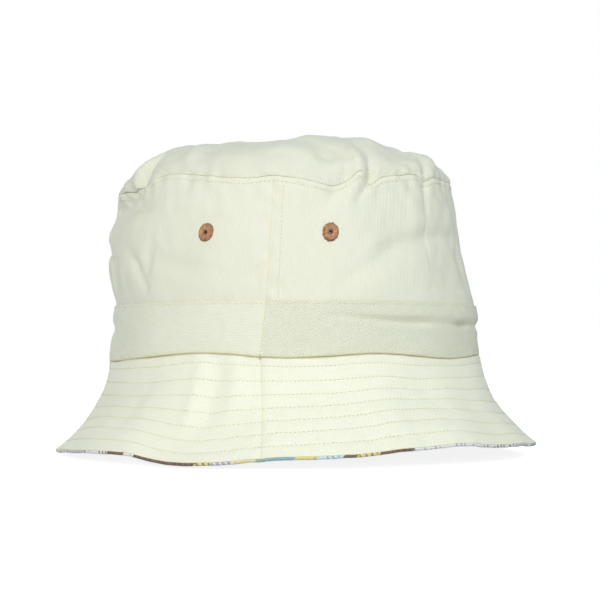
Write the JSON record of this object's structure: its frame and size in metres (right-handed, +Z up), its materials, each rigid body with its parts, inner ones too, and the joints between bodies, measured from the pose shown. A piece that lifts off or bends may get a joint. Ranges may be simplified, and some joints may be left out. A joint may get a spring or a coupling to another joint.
{
  "type": "bucket hat",
  "caption": "Soft cotton bucket hat with a puffed oval crown, a cloth hat band, a flared brim stitched in rings, sewn eyelets and a printed lining.",
  "frame": {"origin": "middle of the hat's box at floor height, under the middle of the crown, with the hat standing on its brim", "axes": "+X to the front of the hat, +Z up, so the wearer's right side faces -Y"},
  "size_m": [0.2559, 0.2366, 0.17],
  "materials": {
    "cream_twill": "matt cotton twill, pale cream",
    "cream_thread": "sewing thread, slightly darker than the cloth",
    "tan_thread": "embroidery thread, tan, with a soft sheen",
    "printed_lining": null,
    "white_interlining": "stiff non-woven",
    "label_satin": "blank white satin"
  },
  "bodies": {
    "hat": {"crown_tip": "cream_twill", "crown_side_front": "cream_twill", "crown_side_back": "cream_twill", "hat_band_front": "cream_twill", "hat_band_back": "cream_twill", "brim_outer_front": "cream_twill", "brim_outer_back": "cream_twill", "sweatband": "cream_twill", "brim_interlining_front": "white_interlining", "brim_interlining_back": "white_interlining", "underbrim_front": "printed_lining", "underbrim_back": "printed_lining", "lining_tip": "printed_lining", "lining_side_front": "printed_lining", "lining_side_back": "printed_lining", "brim_stitch_row_1": "cream_thread", "brim_stitch_row_2": "cream_thread", "brim_stitch_row_3": "cream_thread", "brim_stitch_row_4": "cream_thread", "brim_stitch_row_5": "cream_thread", "brim_stitch_row_6": "cream_thread", "brim_stitch_row_7": "cream_thread", "tip_topstitch": "cream_thread", "band_top_stitches": "cream_thread", "band_bottom_stitches": "cream_thread", "side_seam_topstitch_right": "cream_thread", "side_seam_topstitch_left": "cream_thread", "eyelet_front_right": "tan_thread", "eyelet_back_right": "tan_thread", "eyelet_front_left": "tan_thread", "eyelet_back_left": "tan_thread"},
    "brim_lip": {"brim_lip_outer": "cream_twill", "brim_lip_interlining": "white_interlining", "brim_lip_underbrim": "printed_lining", "brim_lip_stitch_row_6": "cream_thread", "brim_lip_stitch_row_7": "cream_thread"},
    "label": {"care_label": "label_satin"}
  },
  "joints": [
    {"name": "brim_lip_turn_up", "type": "hinge", "parent": "hat", "child": "brim_lip", "pos_m": [0.1135, 0, 0.0199], "axis": [0, -1, 0], "range_deg": [0, 90]},
    {"name": "care_label_swing", "type": "hinge", "parent": "hat", "child": "label", "pos_m": [-0.0912, 0, 0.077], "axis": [0, -1, 0], "range_deg": [0, 90]}
  ]
}
